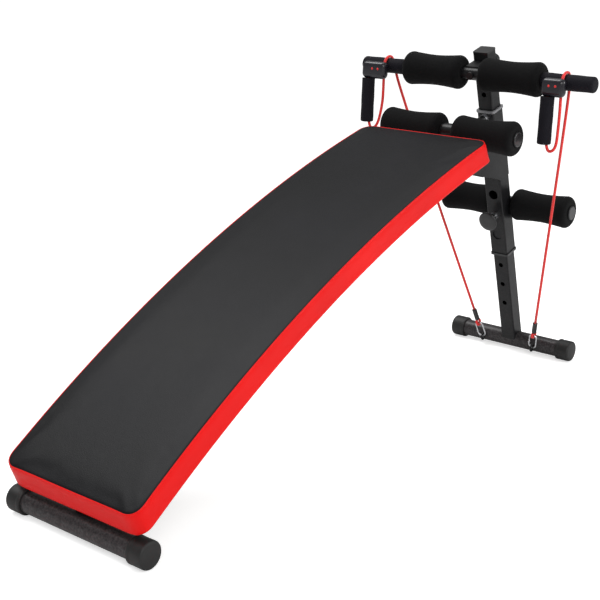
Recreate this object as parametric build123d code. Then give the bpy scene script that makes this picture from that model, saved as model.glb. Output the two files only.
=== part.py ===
# Decline sit-up bench: a curved padded board on a bent steel beam, held up at its high end
# by a leaning telescopic post with foam rollers, a cross bar, and two elastic pull cords.
#
# +X runs along the bench from its low end to the post, +Y is to the left of a person who
# looks that way, and +Z is up. The origin is on the floor, under the middle of the bench.
# All sizes are in millimetres. The bench is drawn with the front foot at X = 0 and is moved
# by ORIGIN_X as each piece is written.
from build123d import *
import os
from math import atan2, cos, degrees, pi, radians, sin, tan

# ---------------------------------------------------------------- driving dimensions
FOOT_SPAN = 1340.0            # from the front foot's axis to the rear foot's axis
FOOT_TUBE_RADIUS = 19.0
FOOT_CAP_RADIUS = 23.5        # the rubber caps carry the bench, so this is the axis height
FOOT_HALF_LENGTH = 156.0      # to the outer face of a cap
FOOT_CAP_LENGTH = 34.0
FOOT_CAP_END = 6.0            # rubber beyond the end of the tube
TUBE_WALL = 1.5

PAD_LENGTH = 1065.0           # along the curve of its top
PAD_LOW_WIDTH = 310.0
PAD_HIGH_WIDTH = 302.0
PAD_THICKNESS = 45.0
PAD_CURVE_RADIUS = 2880.0     # of the pad's top
PAD_LOW_ANGLE = 36.35         # slope of the pad's top at the low end, degrees
PAD_LOW_X = -34.0             # top edge of the low end, from the front foot
PAD_LOW_Z = 90.3
PAD_CORNER_RADIUS = 28.0
BOARD_THICKNESS = 12.0
BOARD_INSET = 6.0             # foam and cover around the board's edge

BEAM_WIDTH = 40.0
BEAM_HEIGHT = 30.0
BEAM_START = 8.0              # along the pad's curve
BEAM_PAST_PAD = 10.0
PAD_BRACKET_THICKNESS = 4.0
PAD_BRACKET_WIDTH = 34.0
PAD_BRACKET_LENGTH = 230.0
PAD_BRACKET_PLACES = (210.0, 860.0)
PAD_BOLT_SPACING = 190.0

LEAN = 18.0                   # of the post towards the low end, degrees
SLEEVE_WIDTH = 40.0
POST_TUBE_WIDTH = 35.0
SLEEVE_BOTTOM = 238.0         # heights along the post, from the rear foot's axis
SLEEVE_TOP = 579.0
SLEEVE_HOLE_RADIUS = 11.0
SLEEVE_FIRST_HOLE = 485.0
NOTCH = 50.0                  # pitch of every row of holes
LEG_TOP = 352.0
UPPER_TUBE_BOTTOM = 503.0
UPPER_TUBE_TOP = 709.0
PIN_HOLE_RADIUS = 5.5
LEG_FIRST_HOLE = 106.0
UPPER_PIN_HEIGHT = 569.0
LOWER_PIN_HEIGHT = 335.0
UPPER_KNOB_REACH = 55.0       # middle of the knob's head, from the face of the sleeve
LOWER_KNOB_REACH = 27.0
SLIDING_GAP = 0.3             # between a post tube and the plastic that guides it

BAR_RADIUS = 12.5             # all three cross bars
ROLLER_END_RADIUS = 35.0
ROLLER_WAIST_RADIUS = 31.0
ROLLER_BORE_GAP = 0.08
KNEE_BAR_PAST_PAD = 81.0      # along the pad's curve
KNEE_BAR_DEPTH = 29.0         # under the pad's top
KNEE_ROLLER_INNER = 18.0
KNEE_ROLLER_OUTER = 155.0
ANKLE_BAR_HEIGHT = 341.0
ANKLE_BAR_BEHIND = 33.0       # behind the post's middle line
ANKLE_ROLLER_INNER = 22.0
ANKLE_ROLLER_OUTER = 157.0
TOP_BAR_HEIGHT = 679.0
TOP_BAR_AHEAD = 49.0          # in front of the post's middle line
TOP_ROLLER_INNER = 24.0
TOP_ROLLER_OUTER = 160.0
TOP_BAR_HALF_LENGTH = 275.0
BAR_GRIP_RADIUS = 16.0

CORD_RADIUS = 3.0
CORD_FOOT_Y = 65.0
CORD_BAR_Y = 212.0
HANDLE_OFFSET = {"left": 34.0, "right": 24.0}   # from the cord to the grip's axis
GRIP_RADIUS = 14.0
GRIP_LENGTH = 94.0

YOKE_FRONT = -38.0            # the yoke's faces, from the cross bar's axis
YOKE_BOTTOM = -28.0
YOKE_TOP = 9.0
CORD_JOINT_Z = -4.0           # where the pull cord becomes the handle's loop, inside the yoke
CORD_JOINT_GAP = 0.5
LOOP_INSET = 2.0
LOOP_WIDTH = 26.0             # of the cord's turn under the grip

RING_RADIUS = 7.0             # welded eyelet on the rear foot
RING_WIRE = 2.0
EYELET_AHEAD = 23.0
EYELET_BELOW = 6.0
HOOK_WIRE = 1.8               # snap hook
HOOK_HALF = 9.0
HOOK_LENGTH = 36.0
GATE_WIRE = 1.5
GATE_PIVOT = 12.2             # height of the gate's hinge
GATE_PIVOT_RADIUS = 1.8
GATE_END = 26.0
EYE_RADIUS = 7.0              # loop at the cord's lower end
CRIMP_RADIUS = 5.5
CRIMP_LENGTH = 28.0

FRAME_BOLT_RADIUS = 4.0
FRAME_BOLT_FROM_END = (75.0, 25.0)
CHEEK_THICKNESS = 4.0
PAD_BOLT_RADIUS = 3.0
PAD_BOLT_DEPTH = 10.0
COLLAR_HEIGHT = 5.0
BUSHING_DEPTH = 24.0
PIN_RADIUS = 4.0
PIN_FIT = 0.06
HOUSING_RADIUS = 9.0
HOUSING_LENGTH = 12.0
TOP_BOLT_RADIUS = 4.0

SIDES = {"left": 1, "right": -1}

# ---------------------------------------------------------------- the pad's curve
CURVE_X = PAD_LOW_X + PAD_CURVE_RADIUS * sin(radians(PAD_LOW_ANGLE))
CURVE_Z = PAD_LOW_Z - PAD_CURVE_RADIUS * cos(radians(PAD_LOW_ANGLE))
ORIGIN_X = (PAD_LOW_X + FOOT_SPAN + FOOT_CAP_RADIUS) / 2


def curve_angle(distance):
    """Slope of the pad's top at a distance along it, in degrees."""
    return PAD_LOW_ANGLE - degrees(distance / PAD_CURVE_RADIUS)


def curve_point(distance, depth, y=0.0):
    """A point under the pad's top, by distance along it and depth below it."""
    angle = radians(curve_angle(distance))
    radius = PAD_CURVE_RADIUS - depth
    return Vector(CURVE_X - radius * sin(angle), y, CURVE_Z + radius * cos(angle))


def curve_place(distance, depth, y=0.0):
    """A place on the curve with local X along the pad and local Z out of its top."""
    slope = radians(curve_angle(distance))
    plane = Plane(
        origin=curve_point(distance, depth, y),
        x_dir=(cos(slope), 0, sin(slope)),
        z_dir=(-sin(slope), 0, cos(slope)),
    )
    return plane.location


def curved_slab(start, end, top_depth, bottom_depth, width):
    """A slab that follows the pad's curve."""
    middle = (start + end) / 2
    top = ThreePointArc(
        curve_point(start, top_depth), curve_point(middle, top_depth), curve_point(end, top_depth)
    )
    bottom = ThreePointArc(
        curve_point(end, bottom_depth),
        curve_point(middle, bottom_depth),
        curve_point(start, bottom_depth),
    )
    high_end = Line(curve_point(end, top_depth), curve_point(end, bottom_depth))
    low_end = Line(curve_point(start, bottom_depth), curve_point(start, top_depth))
    outline = make_face([top, high_end, bottom, low_end])
    return extrude(outline, width / 2, both=True)


# ---------------------------------------------------------------- the post's frame
POST = Plane(
    origin=(FOOT_SPAN, 0, FOOT_CAP_RADIUS),
    x_dir=(cos(radians(LEAN)), 0, sin(radians(LEAN))),
    z_dir=(-sin(radians(LEAN)), 0, cos(radians(LEAN))),
).location


def post_point(height, behind=0.0, y=0.0):
    """A point by its height along the post and its distance behind the post's middle line."""
    return (POST * Pos(behind, y, height)).position


def square_tube(width, wall, bottom, top, corner=3.5):
    outer = extrude(RectangleRounded(width, width, corner), top - bottom)
    inner = extrude(RectangleRounded(width - 2 * wall, width - 2 * wall, corner - wall), top - bottom)
    return Pos(0, 0, bottom) * (outer - inner)


def rod_y(radius, start, end):
    """A rod along Y."""
    return Pos(0, start, 0) * Rot(-90, 0, 0) * extrude(Circle(radius), end - start)


def rod_x(radius, start, end):
    """A rod along X."""
    return Pos(start, 0, 0) * Rot(0, 90, 0) * extrude(Circle(radius), end - start)


def ring_y(outer, inner, start, end):
    return rod_y(outer, start, end) - rod_y(inner, start, end)


def block(x0, x1, y0, y1, z0, z1):
    return Pos((x0 + x1) / 2, (y0 + y1) / 2, (z0 + z1) / 2) * Box(x1 - x0, y1 - y0, z1 - z0)


nodes = {}


# ---------------------------------------------------------------- feet
def foot_tube():
    end = FOOT_HALF_LENGTH - FOOT_CAP_END
    return ring_y(FOOT_TUBE_RADIUS, FOOT_TUBE_RADIUS - TUBE_WALL, -end, end)


def foot_cap(side):
    """A rubber cup over the end of a foot tube."""
    inside = FOOT_HALF_LENGTH - FOOT_CAP_LENGTH
    cup = rod_y(FOOT_CAP_RADIUS, inside, FOOT_HALF_LENGTH)
    cup = fillet(cup.edges().sort_by(Axis.Y)[-1:], 4.0)
    cup -= rod_y(FOOT_TUBE_RADIUS, inside, FOOT_HALF_LENGTH - FOOT_CAP_END)
    return cup if side > 0 else mirror(cup, about=Plane.XZ)


FRONT_FOOT = Pos(0, 0, FOOT_CAP_RADIUS)
REAR_FOOT = Pos(FOOT_SPAN, 0, FOOT_CAP_RADIUS)
front_foot_solid = FRONT_FOOT * rod_y(FOOT_TUBE_RADIUS, -FOOT_HALF_LENGTH, FOOT_HALF_LENGTH)
rear_foot_solid = REAR_FOOT * rod_y(FOOT_TUBE_RADIUS, -FOOT_HALF_LENGTH, FOOT_HALF_LENGTH)
nodes["front_foot_tube"] = FRONT_FOOT * foot_tube()
nodes["rear_foot_tube"] = REAR_FOOT * foot_tube()
for name, side in SIDES.items():
    nodes[f"front_foot_cap_{name}"] = FRONT_FOOT * foot_cap(side)
    nodes[f"rear_foot_cap_{name}"] = REAR_FOOT * foot_cap(side)

# ---------------------------------------------------------------- beam under the pad
BEAM_TOP = PAD_THICKNESS + PAD_BRACKET_THICKNESS
BEAM_BOTTOM = BEAM_TOP + BEAM_HEIGHT
BEAM_MIDDLE = (BEAM_TOP + BEAM_BOTTOM) / 2
BEAM_END = PAD_LENGTH + BEAM_PAST_PAD
FRAME_BOLT_PLACES = [PAD_LENGTH - distance for distance in FRAME_BOLT_FROM_END]
UNDER_ROLLER = KNEE_BAR_DEPTH + ROLLER_END_RADIUS + 3.0   # depth that clears the knee rollers

beam = curved_slab(BEAM_START, BEAM_END, BEAM_TOP, BEAM_BOTTOM, BEAM_WIDTH)
beam -= curved_slab(
    BEAM_START - 20,
    BEAM_END + 20,
    BEAM_TOP + TUBE_WALL,
    BEAM_BOTTOM - TUBE_WALL,
    BEAM_WIDTH - 2 * TUBE_WALL,
)
beam -= front_foot_solid
for place in FRAME_BOLT_PLACES:
    beam -= curve_place(place, BEAM_MIDDLE) * rod_y(FRAME_BOLT_RADIUS, -BEAM_WIDTH, BEAM_WIDTH)
nodes["main_beam"] = beam


def cheek(y0, y1):
    """Plate that ties the beam's end to one side of the sleeve."""
    outline = Polyline(
        curve_point(PAD_LENGTH - 98, BEAM_TOP + 2),
        curve_point(PAD_LENGTH + 38, BEAM_TOP + 2),
        curve_point(PAD_LENGTH + 56, UNDER_ROLLER),
        curve_point(PAD_LENGTH + 100, UNDER_ROLLER),
        post_point(500, -SLEEVE_WIDTH / 2 - 1),
        post_point(500, SLEEVE_WIDTH / 2 - 6),
        post_point(425, SLEEVE_WIDTH / 2 - 6),
        post_point(425, -SLEEVE_WIDTH / 2 - 1),
        curve_point(PAD_LENGTH + 45, UNDER_ROLLER + 33),
        curve_point(PAD_LENGTH - 98, BEAM_BOTTOM - 2),
        close=True,
    )
    plate = extrude(make_face(outline), CHEEK_THICKNESS / 2, both=True)
    plate = Pos(0, (y0 + y1) / 2, 0) * plate
    for place in FRAME_BOLT_PLACES:
        plate -= curve_place(place, BEAM_MIDDLE) * rod_y(FRAME_BOLT_RADIUS, y0 - 1, y1 + 1)
    return plate


half = BEAM_WIDTH / 2
nodes["post_bracket"] = Compound(
    children=[cheek(half, half + CHEEK_THICKNESS), cheek(-half - CHEEK_THICKNESS, -half)]
)


def hexagon_rod(radius, start, end):
    return Pos(0, start, 0) * Rot(-90, 0, 0) * extrude(RegularPolygon(radius, 6), end - start)


def cross_bolt(place):
    face = half + CHEEK_THICKNESS
    bolt = rod_y(FRAME_BOLT_RADIUS, -face - 9, face)
    bolt += hexagon_rod(7.5, face, face + 5.5)
    bolt += hexagon_rod(7.5, -face - 6.5, -face)
    return curve_place(place, BEAM_MIDDLE) * bolt


nodes["bracket_bolts"] = Compound(children=[cross_bolt(place) for place in FRAME_BOLT_PLACES])

# ---------------------------------------------------------------- pad
pad_bolt_spots = [
    (place, side * PAD_BOLT_SPACING / 2) for place in PAD_BRACKET_PLACES for side in (1, -1)
]


def pad_bracket(place):
    plate = Box(PAD_BRACKET_WIDTH, PAD_BRACKET_LENGTH, PAD_BRACKET_THICKNESS)
    plate = fillet(plate.edges().filter_by(Axis.Z), 8.0)
    return curve_place(place, PAD_THICKNESS + PAD_BRACKET_THICKNESS / 2) * plate


def pad_bolt_hole(place, y):
    start = -PAD_BRACKET_THICKNESS - 1
    hole = Pos(0, 0, start) * extrude(Circle(PAD_BOLT_RADIUS), PAD_BOLT_DEPTH - start)
    return curve_place(place, PAD_THICKNESS, y) * hole


def pad_bolt(place, y):
    under = -PAD_BRACKET_THICKNESS
    shank = Pos(0, 0, under) * extrude(Circle(PAD_BOLT_RADIUS), PAD_BOLT_DEPTH - under)
    head = Pos(0, 0, under - 4) * extrude(RegularPolygon(5.5, 6), 4)
    return curve_place(place, PAD_THICKNESS, y) * (shank + head)


def pad_outline_cutter(inset, corner):
    """A tall block with the pad's tapered, round-cornered outline, to cut a slab with."""
    chord_start = curve_point(0, 0)
    chord_end = curve_point(PAD_LENGTH, 0)
    chord = chord_end - chord_start
    slope = atan2(chord.Z, chord.X)
    length = chord.length
    low = PAD_LOW_WIDTH / 2 - inset
    high = PAD_HIGH_WIDTH / 2 - inset
    outline = make_face(
        Polyline(
            (inset, -low), (length - inset, -high), (length - inset, high), (inset, low), close=True
        )
    )
    outline = fillet(outline.vertices(), corner)
    plane = Plane(
        origin=chord_start, x_dir=(cos(slope), 0, sin(slope)), z_dir=(-sin(slope), 0, cos(slope))
    )
    return plane.location * extrude(outline, 200, both=True)


def padded_slab(top_depth, bottom_depth, inset, corner):
    slab = curved_slab(-40, PAD_LENGTH + 40, top_depth, bottom_depth, PAD_LOW_WIDTH + 20)
    return slab & pad_outline_cutter(inset, corner)


board = padded_slab(PAD_THICKNESS - BOARD_THICKNESS, PAD_THICKNESS, BOARD_INSET, 22.0)
cushion = padded_slab(0, PAD_THICKNESS, 0, PAD_CORNER_RADIUS)
pocket = padded_slab(
    PAD_THICKNESS - BOARD_THICKNESS, PAD_THICKNESS + 5, BOARD_INSET, 22.0
)
nodes["pad_cushion"] = cushion - pocket
for place, y in pad_bolt_spots:
    board -= pad_bolt_hole(place, y)
nodes["pad_board"] = board
brackets = []
for place in PAD_BRACKET_PLACES:
    bracket = pad_bracket(place)
    for spot, y in pad_bolt_spots:
        if spot == place:
            bracket -= pad_bolt_hole(spot, y)
    brackets.append(bracket - board)
nodes["pad_brackets"] = Compound(children=brackets)
nodes["pad_bolts"] = Compound(children=[pad_bolt(place, y) for place, y in pad_bolt_spots])

# ---------------------------------------------------------------- post
SLEEVE_HALF = SLEEVE_WIDTH / 2
SLEEVE_INSIDE = SLEEVE_WIDTH - 2 * TUBE_WALL
TUBE_HALF = POST_TUBE_WIDTH / 2
COLLAR_WIDTH = SLEEVE_WIDTH + 4.0

sleeve = square_tube(SLEEVE_WIDTH, TUBE_WALL, SLEEVE_BOTTOM, SLEEVE_TOP)
for row in range(5):
    height = SLEEVE_FIRST_HOLE - NOTCH * row
    if height != LOWER_PIN_HEIGHT:
        sleeve -= Pos(0, 0, height) * rod_x(SLEEVE_HOLE_RADIUS, -SLEEVE_WIDTH, 0)
for height in (UPPER_PIN_HEIGHT, LOWER_PIN_HEIGHT):
    sleeve -= Pos(0, 0, height) * rod_x(PIN_RADIUS + 0.5, -SLEEVE_WIDTH, 0)
nodes["post_sleeve"] = POST * sleeve


def bushing(collar_bottom, insert_bottom, insert_top):
    opening = POST_TUBE_WIDTH + 2 * SLIDING_GAP
    collar = extrude(RectangleRounded(COLLAR_WIDTH, COLLAR_WIDTH, 5.0), COLLAR_HEIGHT)
    collar = Pos(0, 0, collar_bottom) * collar
    insert = extrude(RectangleRounded(SLEEVE_INSIDE, SLEEVE_INSIDE, 2.0), insert_top - insert_bottom)
    insert = Pos(0, 0, insert_bottom) * insert
    hole = extrude(RectangleRounded(opening, opening, 3.5), insert_top - insert_bottom + 60)
    return collar + insert - Pos(0, 0, insert_bottom - 30) * hole


top_bushing = bushing(SLEEVE_TOP, SLEEVE_TOP - BUSHING_DEPTH, SLEEVE_TOP)
top_bushing -= Pos(0, 0, UPPER_PIN_HEIGHT) * rod_x(PIN_RADIUS + 0.5, -SLEEVE_WIDTH, 0)
bottom_bushing = bushing(SLEEVE_BOTTOM - COLLAR_HEIGHT, SLEEVE_BOTTOM, SLEEVE_BOTTOM + BUSHING_DEPTH)
nodes["sleeve_bushing_top"] = POST * top_bushing
nodes["sleeve_bushing_bottom"] = POST * bottom_bushing

leg = square_tube(POST_TUBE_WIDTH, TUBE_WALL, 8.0, LEG_TOP)
for row in range(5):
    leg -= Pos(0, 0, LEG_FIRST_HOLE + NOTCH * row) * rod_x(PIN_HOLE_RADIUS, -POST_TUBE_WIDTH, 0)
nodes["leg_tube"] = POST * leg - rear_foot_solid

upper = square_tube(POST_TUBE_WIDTH, TUBE_WALL, UPPER_TUBE_BOTTOM, UPPER_TUBE_TOP)
for height in (UPPER_PIN_HEIGHT - NOTCH, UPPER_PIN_HEIGHT, UPPER_PIN_HEIGHT + NOTCH):
    upper -= Pos(0, 0, height) * rod_x(PIN_HOLE_RADIUS, -POST_TUBE_WIDTH, 0)
upper -= Pos(0, 0, TOP_BAR_HEIGHT) * rod_x(TOP_BOLT_RADIUS, -POST_TUBE_WIDTH, POST_TUBE_WIDTH)
nodes["upper_tube"] = POST * upper

plug_width = POST_TUBE_WIDTH - 2 * TUBE_WALL
cap = Pos(0, 0, UPPER_TUBE_TOP) * extrude(
    RectangleRounded(POST_TUBE_WIDTH + 1, POST_TUBE_WIDTH + 1, 4.0), 4.0
)
cap += Pos(0, 0, UPPER_TUBE_TOP - 14) * extrude(RectangleRounded(plug_width, plug_width, 2.0), 14)
nodes["upper_tube_cap"] = POST * cap


# ---------------------------------------------------------------- pull pins
def pin_housing(height):
    body = rod_x(HOUSING_RADIUS, -SLEEVE_HALF - HOUSING_LENGTH, -SLEEVE_HALF)
    body -= rod_x(PIN_RADIUS + PIN_FIT, -SLEEVE_HALF - HOUSING_LENGTH - 1, -SLEEVE_HALF + 1)
    return POST * Pos(0, 0, height) * body


def pull_pin(height, reach):
    """The steel pin, drawn back just clear of the tube that it locks."""
    return POST * Pos(0, 0, height) * rod_x(PIN_RADIUS, -SLEEVE_HALF - reach, -TUBE_HALF - 0.6)


def pin_knob(height, reach):
    """A mushroom head on a waisted neck, revolved about the pin."""
    neck_start = HOUSING_LENGTH + 1.0
    profile = make_face(
        Polyline(
            (neck_start, 0),
            (neck_start, 9.5),
            (reach - 12, 8.0),
            (reach - 8, 19.0),
            (reach - 4, 22.0),
            (reach + 2, 22.0),
            (reach + 7, 17.0),
            (reach + 9, 8.0),
            (reach + 9, 0),
            close=True,
        )
    )
    head = revolve(profile, Axis.X)
    head = Pos(-SLEEVE_HALF, 0, height) * Rot(0, 0, 180) * head
    head -= Pos(0, 0, height) * rod_x(PIN_RADIUS, -SLEEVE_HALF - reach, 0)
    return POST * head


for name, height, reach in (
    ("upper", UPPER_PIN_HEIGHT, UPPER_KNOB_REACH),
    ("lower", LOWER_PIN_HEIGHT, LOWER_KNOB_REACH),
):
    nodes[f"{name}_pin_housing"] = pin_housing(height)
    nodes[f"{name}_pin"] = pull_pin(height, reach)
    nodes[f"{name}_pin_knob"] = pin_knob(height, reach)


# ---------------------------------------------------------------- bars and foam rollers
def end_plugs(end):
    """The plastic plugs of a bar that stop its rollers, one at each end."""
    plug = rod_y(15.0, end, end + 3.5) + rod_y(BAR_RADIUS - TUBE_WALL, end - 12, end)
    plug = fillet(plug.edges().sort_by(Axis.Y)[-1:], 2.0)
    return Compound(children=[plug, mirror(plug, about=Plane.XZ)])


def foam_roller(inner, outer, side):
    """A foam roller with rounded ends and a slight waist, bored for its bar."""
    middle = (inner + outer) / 2
    rim = ROLLER_END_RADIUS - 11
    bore = BAR_RADIUS + ROLLER_BORE_GAP
    profile = make_face(
        [
            Line((bore, inner), (rim, inner)),
            ThreePointArc((rim, inner), (rim + 8, inner + 3), (ROLLER_END_RADIUS, inner + 11)),
            ThreePointArc(
                (ROLLER_END_RADIUS, inner + 11),
                (ROLLER_WAIST_RADIUS, middle),
                (ROLLER_END_RADIUS, outer - 11),
            ),
            ThreePointArc((ROLLER_END_RADIUS, outer - 11), (rim + 8, outer - 3), (rim, outer)),
            Line((rim, outer), (bore, outer)),
            Line((bore, outer), (bore, inner)),
        ]
    )
    roller = revolve(profile, Axis.Y)
    return roller if side > 0 else mirror(roller, about=Plane.XZ)


KNEE_BAR = Pos(*curve_point(PAD_LENGTH + KNEE_BAR_PAST_PAD, KNEE_BAR_DEPTH))
ANKLE_BAR = Pos(*post_point(ANKLE_BAR_HEIGHT, ANKLE_BAR_BEHIND))
TOP_BAR = Pos(*post_point(TOP_BAR_HEIGHT, -TOP_BAR_AHEAD))
for name, place, inner, outer in (
    ("knee", KNEE_BAR, KNEE_ROLLER_INNER, KNEE_ROLLER_OUTER),
    ("ankle", ANKLE_BAR, ANKLE_ROLLER_INNER, ANKLE_ROLLER_OUTER),
):
    end = outer + 1.0
    nodes[f"{name}_bar"] = place * ring_y(BAR_RADIUS, BAR_RADIUS - TUBE_WALL, -end, end)
    nodes[f"{name}_bar_plugs"] = place * end_plugs(end)
for name, place, inner, outer in (
    ("knee", KNEE_BAR, KNEE_ROLLER_INNER, KNEE_ROLLER_OUTER),
    ("ankle", ANKLE_BAR, ANKLE_ROLLER_INNER, ANKLE_ROLLER_OUTER),
    ("top", TOP_BAR, TOP_ROLLER_INNER, TOP_ROLLER_OUTER),
):
    for side_name, side in SIDES.items():
        nodes[f"{name}_roller_{side_name}"] = place * foam_roller(inner, outer, side)


def bar_saddle(width, foot):
    """A saddle round a bar, cut flat at local Z = -foot."""
    saddle = block(-16, 16, -width / 2, width / 2, -foot, 0)
    saddle += rod_y(BAR_RADIUS + 3.0, -width / 2, width / 2)
    saddle -= block(-40, 40, -width, width, -foot - 40, -foot)
    return saddle - rod_y(BAR_RADIUS, -width, width)


knee_slope = curve_angle(PAD_LENGTH + KNEE_BAR_PAST_PAD)
stem_top = UNDER_ROLLER - KNEE_BAR_DEPTH
knee_stem = bar_saddle(2 * KNEE_ROLLER_INNER - 4, stem_top)
knee_stem += block(-14, 14, -BEAM_WIDTH / 2, BEAM_WIDTH / 2, -stem_top - 24, -stem_top)
nodes["knee_bar_stem"] = KNEE_BAR * Rot(0, -knee_slope, 0) * knee_stem
ankle_saddle = Rot(0, 90, 0) * bar_saddle(30.0, ANKLE_BAR_BEHIND - SLEEVE_HALF)
nodes["ankle_bar_saddle"] = POST * Pos(ANKLE_BAR_BEHIND, 0, ANKLE_BAR_HEIGHT) * ankle_saddle

# ---------------------------------------------------------------- cross bar at the top
grip_start = TOP_ROLLER_OUTER + 1.0
bar_end = TOP_BAR_HALF_LENGTH - 4.0
TOP_LOCAL = Pos(-TOP_BAR_AHEAD, 0, TOP_BAR_HEIGHT)
top_bar = rod_y(BAR_RADIUS, -bar_end, bar_end)
top_bar += block(0, TOP_BAR_AHEAD - TUBE_HALF, -17, 17, -15, 15)
top_bar -= rod_y(BAR_RADIUS - TUBE_WALL, -bar_end - 1, bar_end + 1)
top_bar -= rod_x(TOP_BOLT_RADIUS, -BAR_RADIUS - 5, TOP_BAR_AHEAD)
nodes["top_bar"] = POST * TOP_LOCAL * top_bar

top_bolt = rod_x(TOP_BOLT_RADIUS, -BAR_RADIUS, TOP_BAR_AHEAD + TUBE_HALF + 18)
top_bolt += rod_x(8.0, -BAR_RADIUS - 4, -BAR_RADIUS)
nodes["top_bar_bolt"] = POST * TOP_LOCAL * top_bolt

knob_profile = make_face(
    Polyline((0, 0), (0, 9), (4, 10), (7, 15), (17, 15), (21, 11), (21, 0), close=True)
)
top_knob = revolve(knob_profile, Axis.X)
lobe = Rot(0, 90, 0) * extrude(Circle(4.0), 30)
for turn in range(6):
    top_knob -= Rot(60 * turn, 0, 0) * (Pos(0, 17.0, 0) * lobe)
top_knob = Pos(TUBE_HALF + 0.3, 0, TOP_BAR_HEIGHT) * top_knob
top_knob -= Pos(0, 0, TOP_BAR_HEIGHT) * rod_x(TOP_BOLT_RADIUS + PIN_FIT, 0, TUBE_HALF + 18.5)
nodes["top_bar_knob"] = POST * top_knob

for side_name, side in SIDES.items():
    grip = rod_y(BAR_GRIP_RADIUS, grip_start, TOP_BAR_HALF_LENGTH)
    grip = fillet(grip.edges().sort_by(Axis.Y)[-1:], 5.0)
    grip -= rod_y(BAR_RADIUS, grip_start - 1, bar_end)
    nodes[f"bar_grip_{side_name}"] = TOP_BAR * (grip if side > 0 else mirror(grip, about=Plane.XZ))

# ---------------------------------------------------------------- handles
# Each handle is drawn about the cross bar's axis: local X is behind the bar, local Z is up.
WRAP_RADIUS = BAR_GRIP_RADIUS + CORD_RADIUS + 0.3
YOKE_BACK = -BAR_GRIP_RADIUS - 0.6
GRIP_BOTTOM = YOKE_BOTTOM - GRIP_LENGTH
LOOP_BOTTOM = GRIP_BOTTOM - 13.0


def handle_cord_path(cord_y, grip_y):
    """The loop: down out of the yoke, round, and up through the grip."""
    return [
        Vector(-WRAP_RADIUS, cord_y, CORD_JOINT_Z - CORD_JOINT_GAP),
        Vector(-WRAP_RADIUS - 2, cord_y - LOOP_INSET, YOKE_BOTTOM - 14),
        Vector(-WRAP_RADIUS - 4, cord_y - LOOP_INSET - 1, GRIP_BOTTOM + 40),
        Vector(-WRAP_RADIUS - 6, grip_y - LOOP_WIDTH, LOOP_BOTTOM),
        Vector(-WRAP_RADIUS - 8, grip_y, LOOP_BOTTOM),
        Vector(-WRAP_RADIUS - 8, grip_y + 0.5, YOKE_BOTTOM),
    ]


def tangent_radii(points, share=0.45):
    """The largest arc at each corner that leaves some straight run on both sides."""
    radii = []
    for before, corner, after in zip(points, points[1:], points[2:]):
        turn = radians((corner - before).get_angle(after - corner))
        run = min((corner - before).length, (after - corner).length)
        radii.append(share * run / tan(turn / 2))
    return radii


def cord_tube(points, radii, radius):
    path = FilletPolyline(*points, radius=radii)
    start = Plane(origin=path @ 0, z_dir=path % 0)
    return sweep(start.location * Circle(radius), path=path), path


GRIP_X = -WRAP_RADIUS - 8


def yoke(cord_y, grip_y):
    body = block(YOKE_FRONT, YOKE_BACK, cord_y - 13, grip_y + 14, YOKE_BOTTOM, YOKE_TOP)
    body = fillet(body.edges().filter_by(Axis.X), 10.0)
    groove = ring_y(WRAP_RADIUS + CORD_RADIUS + 0.5, 1.0, cord_y - 3.6, cord_y + 3.6)
    return body - groove & block(-80, 0, -400, 400, YOKE_BOTTOM, YOKE_TOP)


def eyelet_place(side):
    return REAR_FOOT * Pos(-EYELET_AHEAD, side * CORD_FOOT_Y, -EYELET_BELOW)


def cord_side(side):
    """The pull cord's own frame at the rear foot: origin at the carabiner's lowest wire."""
    start = eyelet_place(side).position
    target = TOP_BAR.position + Vector(WRAP_RADIUS, side * CORD_BAR_Y, 0)
    direction = (target - start).normalized()
    return start, direction


EYE_HEIGHT = HOOK_LENGTH - HOOK_WIRE - CORD_RADIUS - 0.6 + EYE_RADIUS
CRIMP_START = EYE_HEIGHT + 6.0
CRIMP_END = CRIMP_START + CRIMP_LENGTH
HOOK_LIFT = RING_RADIUS - RING_WIRE - HOOK_WIRE - 0.6


def hook_wire_path():
    """The carabiner's bent wire, open where its gate sits, in the local YZ plane."""
    low = Vector(0, HOOK_HALF, HOOK_HALF)
    low_mid = Vector(0, 0, 0)
    low_far = Vector(0, -HOOK_HALF, HOOK_HALF)
    high_far = Vector(0, -HOOK_HALF, HOOK_LENGTH - HOOK_HALF)
    high_mid = Vector(0, 0, HOOK_LENGTH)
    high = Vector(0, HOOK_HALF, HOOK_LENGTH - HOOK_HALF)
    return Wire(
        [
            Line(low + Vector(0, 0, 0.4), low),
            ThreePointArc(low, low_mid, low_far),
            Line(low_far, high_far),
            ThreePointArc(high_far, high_mid, high),
            Line(high, high - Vector(0, 0, 0.4)),
        ]
    )


def hook_frame(side):
    start, direction = cord_side(side)
    plane = Plane(origin=start + direction * HOOK_LIFT, x_dir=(1, 0, 0), z_dir=direction)
    return plane.location


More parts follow.
